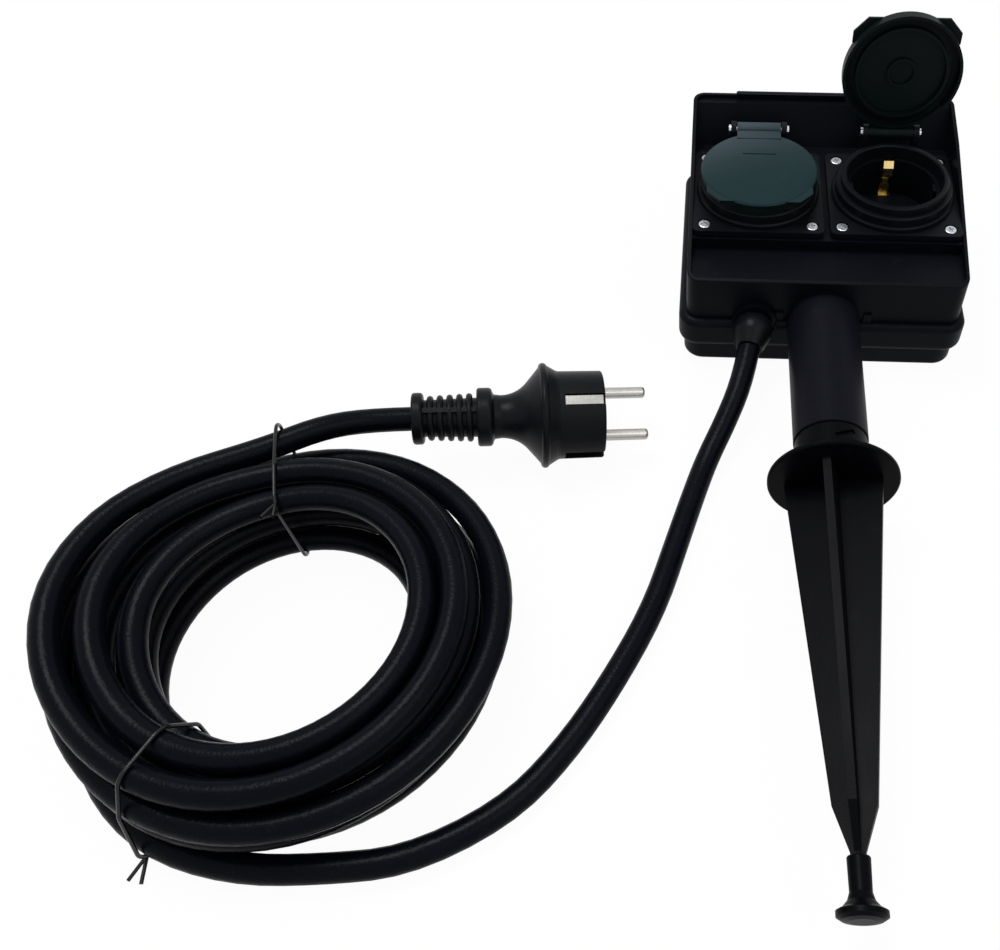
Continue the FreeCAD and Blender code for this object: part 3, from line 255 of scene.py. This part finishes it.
def newMaterial(name, colour):
    material = bpy.data.materials.new(name)
    material.use_nodes = True
    material.node_tree.nodes.clear()
    material.diffuse_color = (*colour, 1.0)
    return material, Signal(material.node_tree)


def objectPlace(pen, stretch=(1.0, 1.0, 1.0)):
    place = pen.make("ShaderNodeTexCoord", output=3)
    return pen.make("ShaderNodeMapping", {}, {"Vector": place, "Scale": stretch})


def noiseOf(pen, where, scale, detail=3.0, roughness=0.5):
    return pen.make("ShaderNodeTexNoise", {"noise_dimensions": "3D"},
                    {"Vector": where, "Scale": scale, "Detail": detail, "Roughness": roughness})


def bumpOf(pen, height, strength, distance, normal=None):
    inputs = {"Height": height, "Strength": strength, "Distance": distance}
    if normal:
        inputs["Normal"] = normal
    return pen.make("ShaderNodeBump", {}, inputs)


def mixed(pen, factor, first, second):
    ends = [(*end, 1.0) if isinstance(end, tuple) else end for end in (first, second)]
    return pen.make("ShaderNodeMix", {"data_type": "RGBA", "blend_type": "MIX"},
                    {"Factor": factor, 6: ends[0], 7: ends[1]}, output=2)


# A painted sheen: a pale painted highlight that grows across the piece from one point, along a direction
# in plan
def paintedSheenOf(pen, look):
    place = pen.make("ShaderNodeTexCoord", output=3)
    across, along = (pen.make("ShaderNodeSeparateXYZ", {}, {"Vector": place}, output=i) - look["at"][i]
                     for i in (0, 1))
    way = across * look["way"][0] + along * look["way"][1]
    rise = (way * (1.0 / look["reach"])).clamped(0.0, 1.0)
    return rise * rise * look["amount"]


def closeMaterial(pen, values):
    shader = pen.make("ShaderNodeBsdfPrincipled", {}, values)
    pen.make("ShaderNodeOutputMaterial", {}, {"Surface": shader})


# Textured moulding: clouded colour, streaks of flow, dust and fine grain; on a lid, faces turned from
# the given way take a darker colour, which is painted shade, and a painted sheen may pale the rest
def mouldedPlastic(name, look, litWay=None):
    material, pen = newMaterial(name, look["colour"])
    where = objectPlace(pen)
    cloud = noiseOf(pen, where, look["cloudScale"])
    streak = noiseOf(pen, objectPlace(pen, look["flow"]), look["cloudScale"] * look["streakFine"],
                     detail=4.0, roughness=0.6)
    grain = noiseOf(pen, where, look["grainScale"], detail=2.0)
    rubbed = noiseOf(pen, where, look["cloudScale"] * look["dustFine"], detail=5.0, roughness=0.65)
    dust = ((rubbed - look["dustFrom"]) * look["dustAmount"]).clamped(0.0, 1.0)
    colour = mixed(pen, cloud, look["colour"], look["colourHigh"])
    if litWay:
        facing = pen.make("ShaderNodeTexCoord", output=1)
        outer = pen.make("ShaderNodeVectorMath", {"operation": "DOT_PRODUCT"}, {0: facing, 1: litWay},
                         output=1)
        # Painted sheen: a paler colour painted over the piece where the look asks for it, standing in
        # for a reflection
        if "paintedSheen" in look:
            colour = mixed(pen, paintedSheenOf(pen, look["paintedSheen"]), colour, look["paintedSheen"]["colour"])
        # Painted shade: faces turned away from the lit way, such as the lid's skirt and underside, take
        # the darker inner colour
        colour = mixed(pen, (outer * 3.0 - 1.0).clamped(0.0, 1.0), look["inner"], colour)
    colour = mixed(pen, dust, colour, look["dustColour"])
    rough = look["rough"] + (cloud - 0.5) * look["roughSpread"] + (streak - 0.5) * look["streakSpread"]
    rough = rough + dust * look["dustRough"]
    grained = bumpOf(pen, grain, look["grainHeight"], look["grainDepth"])
    normal = bumpOf(pen, streak, look["streakHeight"], look["streakDepth"], grained)
    closeMaterial(pen, {"Base Color": colour, "Roughness": rough.clamped(0.05, 1.0), "Normal": normal,
                        "Specular IOR Level": look["gloss"]})
    return material


def metalFinish(name, look):
    material, pen = newMaterial(name, look["colour"])
    where = objectPlace(pen)
    cloud = noiseOf(pen, where, look["cloudScale"], detail=4.0)
    colour = mixed(pen, cloud, look["colour"], look["colourHigh"])
    rough = look["rough"] + (cloud - 0.5) * look["roughSpread"]
    grain = noiseOf(pen, where, look["grainScale"])
    normal = bumpOf(pen, grain, look["grainHeight"], look["grainDepth"])
    closeMaterial(pen, {"Base Color": colour, "Roughness": rough.clamped(0.05, 1.0), "Normal": normal,
                        "Metallic": 1.0})
    return material


def plasticLook(colour, high, rough, gloss, **changes):
    look = {"colour": colour, "colourHigh": high, "rough": rough, "gloss": gloss, "roughSpread": 0.12,
            "cloudScale": 35.0, "grainScale": 1500.0, "grainHeight": 0.12, "grainDepth": 0.0004,
            "dustAmount": 0.6, "dustFrom": 0.6, "dustFine": 4.3, "dustRough": 0.3,
            "dustColour": (0.030, 0.032, 0.036), "flow": (1.0, 0.12, 1.0), "streakFine": 6.0,
            "streakSpread": 0.10, "streakHeight": 0.05, "streakDepth": 0.0003}
    look.update(changes)
    return look


housingLook = plasticLook((0.0019, 0.0024, 0.0042), (0.0028, 0.0034, 0.0056), 0.40, 0.045)
insertLook = plasticLook((0.0024, 0.0030, 0.0044), (0.0034, 0.0041, 0.0058), 0.38, 0.065)
stemLook = plasticLook((0.0036, 0.0038, 0.0066), (0.0046, 0.0048, 0.0080), 0.42, 0.040, streakSpread=0.2,
                       flow=(1.0, 0.03, 1.0), streakHeight=0.10)
spikeLook = plasticLook((0.0012, 0.0014, 0.0022), (0.0018, 0.0020, 0.0030), 0.36, 0.030)
# Lid colours: inner is a painted shade, the darker colour given to the lid's faces turned from the light
lidLookWithPaintedShade = plasticLook((0.0058, 0.0195, 0.0225), (0.0080, 0.0235, 0.0270), 0.42, 0.060,
                      dustColour=(0.03, 0.05, 0.055), inner=(0.0022, 0.0050, 0.0050))
rubberLook = plasticLook((0.0016, 0.0020, 0.0040), (0.0028, 0.0032, 0.0056), 0.30, 0.040,
                         cloudScale=60.0, grainScale=900.0, grainHeight=0.3, streakSpread=0.12)
plugRubberLook = plasticLook((0.0030, 0.0034, 0.0048), (0.0042, 0.0047, 0.0064), 0.36, 0.075,
                             grainScale=1100.0, grainHeight=0.2)
tieLook = plasticLook((0.0030, 0.0032, 0.0042), (0.0044, 0.0046, 0.0058), 0.25, 0.25)
coreLook = plasticLook((0.10, 0.04, 0.02), (0.12, 0.05, 0.02), 0.35, 0.4)
zincLook = {"colour": (0.42, 0.44, 0.48), "colourHigh": (0.62, 0.64, 0.68), "rough": 0.32,
            "roughSpread": 0.2, "cloudScale": 400.0, "grainScale": 2500.0, "grainHeight": 0.15,
            "grainDepth": 0.0002}
pinLook = dict(zincLook, colour=(0.45, 0.46, 0.48), colourHigh=(0.62, 0.63, 0.65), rough=0.25)
nickelLook = dict(zincLook, colour=(0.34, 0.33, 0.31), colourHigh=(0.50, 0.48, 0.46), rough=0.24,
                  cloudScale=120.0)
brassLook = dict(zincLook, colour=(0.62, 0.46, 0.18), colourHigh=(0.78, 0.62, 0.30), rough=0.28)

finishes = {
    "housing_black": mouldedPlastic("housingPlastic", housingLook),
    "insert_black": mouldedPlastic("insertPlastic", insertLook),
    "stem_black": mouldedPlastic("stemPlastic", stemLook),
    "spike_black": mouldedPlastic("spikePlastic", spikeLook),
    "seal_rubber": mouldedPlastic("sealRubber", rubberLook),
    "boot_rubber": mouldedPlastic("bootRubber", plugRubberLook),
    "cable_rubber": mouldedPlastic("cableRubber", rubberLook),
    "plug_rubber": mouldedPlastic("plugRubber", plugRubberLook),
    "core_jacket": mouldedPlastic("coreJacket", coreLook),
    "tie_jacket": mouldedPlastic("tieJacket", tieLook),
    "zinc_steel": metalFinish("zincSteel", zincLook),
    "pin_steel": metalFinish("pinSteel", pinLook),
    "nickel": metalFinish("nickelPlate", nickelLook),
    "brass": metalFinish("brassSheet", brassLook),
}
# The closed lid's painted sheen: its colour turns paler grey-blue towards the hinge side and the left, a
# painted reflection of the bright world light
closedLidPaintedSheenLook = dict(lidLookWithPaintedShade, paintedSheen={"at": (-0.0304, 0.1190), "way": (-0.45, 0.89), "reach": 0.033,
                                  "amount": 0.85, "colour": (0.050, 0.066, 0.080)})
openAngle = math.radians(95.0)
# Each lid gets the way its top faces; faces turned from it take the painted shade, and the closed lid
# also the painted sheen
lidFinishes = {
    "lid_left": mouldedPlastic("lidPlasticLeftPaintedLight", closedLidPaintedSheenLook, (0.0, 0.0, 1.0)),
    "lid_right": mouldedPlastic("lidPlasticRightPaintedShade", lidLookWithPaintedShade,
                                (0.0, math.sin(openAngle), math.cos(openAngle))),
}


def paintNodes():
    for row in frame["record"]["subparts"]:
        name = row["node"]
        finish = lidFinishes[name] if name in lidFinishes else finishes[row["material_slot"]]
        piece = nodes[name]
        piece.data.materials.clear()
        piece.data.materials.append(finish)
    cable.data.materials.append(finishes["cable_rubber"])


paintNodes()
print("finishes on")

# Floor, lamps and world
stageLook = {
    "floorSize": 6.0,
    "floorColour": (0.80, 0.80, 0.80),
    "floorWhite": 0.96,    # share of the floor that shows plain white
    "worldLight": 0.50,
    "middle": (-0.08, 0.0, 0.02),   # where the lamps point
    "lamps": [
        {"place": (-0.45, 0.35, 1.6), "size": 0.7, "power": 18.0},
        {"place": (0.7, -0.5, 1.3), "size": 0.9, "power": 4.0},
    ],
}


def makeFloor(look):
    bpy.ops.object.select_all(action="DESELECT")
    bpy.ops.mesh.primitive_plane_add(size=look["floorSize"], location=(0, 0, 0))
    floor = bpy.context.object
    floor.name = "studioFloor"
    material, pen = newMaterial("floorPaper", look["floorColour"])
    diffuse = pen.make("ShaderNodeBsdfDiffuse", {}, {"Color": (*look["floorColour"], 1.0)})
    white = pen.make("ShaderNodeEmission", {}, {"Color": (1, 1, 1, 1), "Strength": 1.0})
    share = seenRays(pen) * look["floorWhite"]
    mix = pen.make("ShaderNodeMixShader", {}, {0: share, 1: diffuse, 2: white})
    pen.make("ShaderNodeOutputMaterial", {}, {"Surface": mix})
    floor.data.materials.append(material)


# 1 for rays from the camera, off gloss or through glass
def seenRays(pen):
    camera = pen.make("ShaderNodeLightPath", output=0)
    glossy = pen.make("ShaderNodeLightPath", output=3)
    through = pen.make("ShaderNodeLightPath", output=6)
    return (camera + glossy + through).clamped(0.0, 1.0)


def makeLamps(look):
    middle = Vector(look["middle"])
    for i, lamp in enumerate(look["lamps"]):
        data = bpy.data.lights.new("softLamp%d" % i, "AREA")
        data.shape = "DISK"
        data.size = lamp["size"]
        data.energy = lamp["power"]
        piece = bpy.data.objects.new("softLamp%d" % i, data)
        bpy.context.scene.collection.objects.link(piece)
        place = Vector(lamp["place"])
        turn = (middle - place).to_track_quat("-Z", "Y").to_matrix().to_4x4()
        piece.matrix_world = Matrix.Translation(place) @ turn


def makeWorld(look):
    world = bpy.data.worlds.new("studioWorld")
    bpy.context.scene.world = world
    world.use_nodes = True
    world.node_tree.nodes.clear()
    pen = Signal(world.node_tree)
    strength = seenRays(pen) * (1.0 - look["worldLight"]) + look["worldLight"]
    sky = pen.make("ShaderNodeBackground", {}, {"Color": (1, 1, 1, 1), "Strength": strength})
    pen.make("ShaderNodeOutputWorld", {}, {"Surface": sky})


makeFloor(stageLook)
makeLamps(stageLook)
makeWorld(stageLook)
bpy.context.scene.view_settings.view_transform = "Standard"
print("stage lit")
